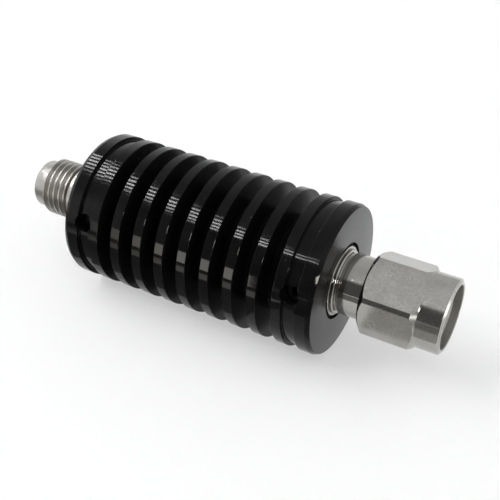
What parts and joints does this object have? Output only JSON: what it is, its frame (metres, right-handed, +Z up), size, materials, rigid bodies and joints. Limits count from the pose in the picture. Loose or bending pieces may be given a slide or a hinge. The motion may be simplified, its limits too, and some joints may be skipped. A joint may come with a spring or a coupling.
{
  "type": "rf attenuator",
  "caption": "Coaxial attenuator: a black finned heat sink on a steel barrel, with a threaded socket connector at one end and a plug with a free-turning hexagon coupling nut at the other.",
  "frame": {"origin": "on the axis, at the socket connector's reference plane", "axes": "+X along the axis towards the plug connector, +Z up, with the set screws turned 70 degrees from +Z towards -Y"},
  "size_m": [0.0488, 0.016, 0.016],
  "materials": {
    "black_anodise": "black anodised, satin, with fine turning lines",
    "steel": "passivated stainless steel, satin, turned",
    "black_steel": "blackened alloy steel",
    "gilt": "gold plated",
    "white_plastic": "white fluoropolymer",
    "spring_bronze": "drawn spring wire",
    "gasket": "red-brown silicone",
    "chip": "ceramic with dark resistive film and gold ends"
  },
  "bodies": {
    "attenuator": {"heat_sink": "black_anodise", "rear_set_screw": "black_steel", "front_set_screw": "black_steel", "barrel": "steel", "socket_shell": "steel", "socket_insulator": "white_plastic", "socket_contact": "gilt", "plug_shell": "steel", "plug_insulator": "white_plastic", "plug_pin": "gilt", "nut_snap_ring": "spring_bronze", "nut_gasket": "gasket", "chip_carrier_lower": "gilt", "chip_carrier_upper": "gilt", "attenuator_chip": "chip", "rear_contact_tab": "gilt", "front_contact_tab": "gilt"},
    "nut": {"coupling_nut": "steel"}
  },
  "joints": [
    {"name": "nut_spin", "type": "hinge", "parent": "attenuator", "child": "nut", "pos_m": [0.0427, 0, 0], "axis": [1, 0, 0], "continuous": true}
  ]
}
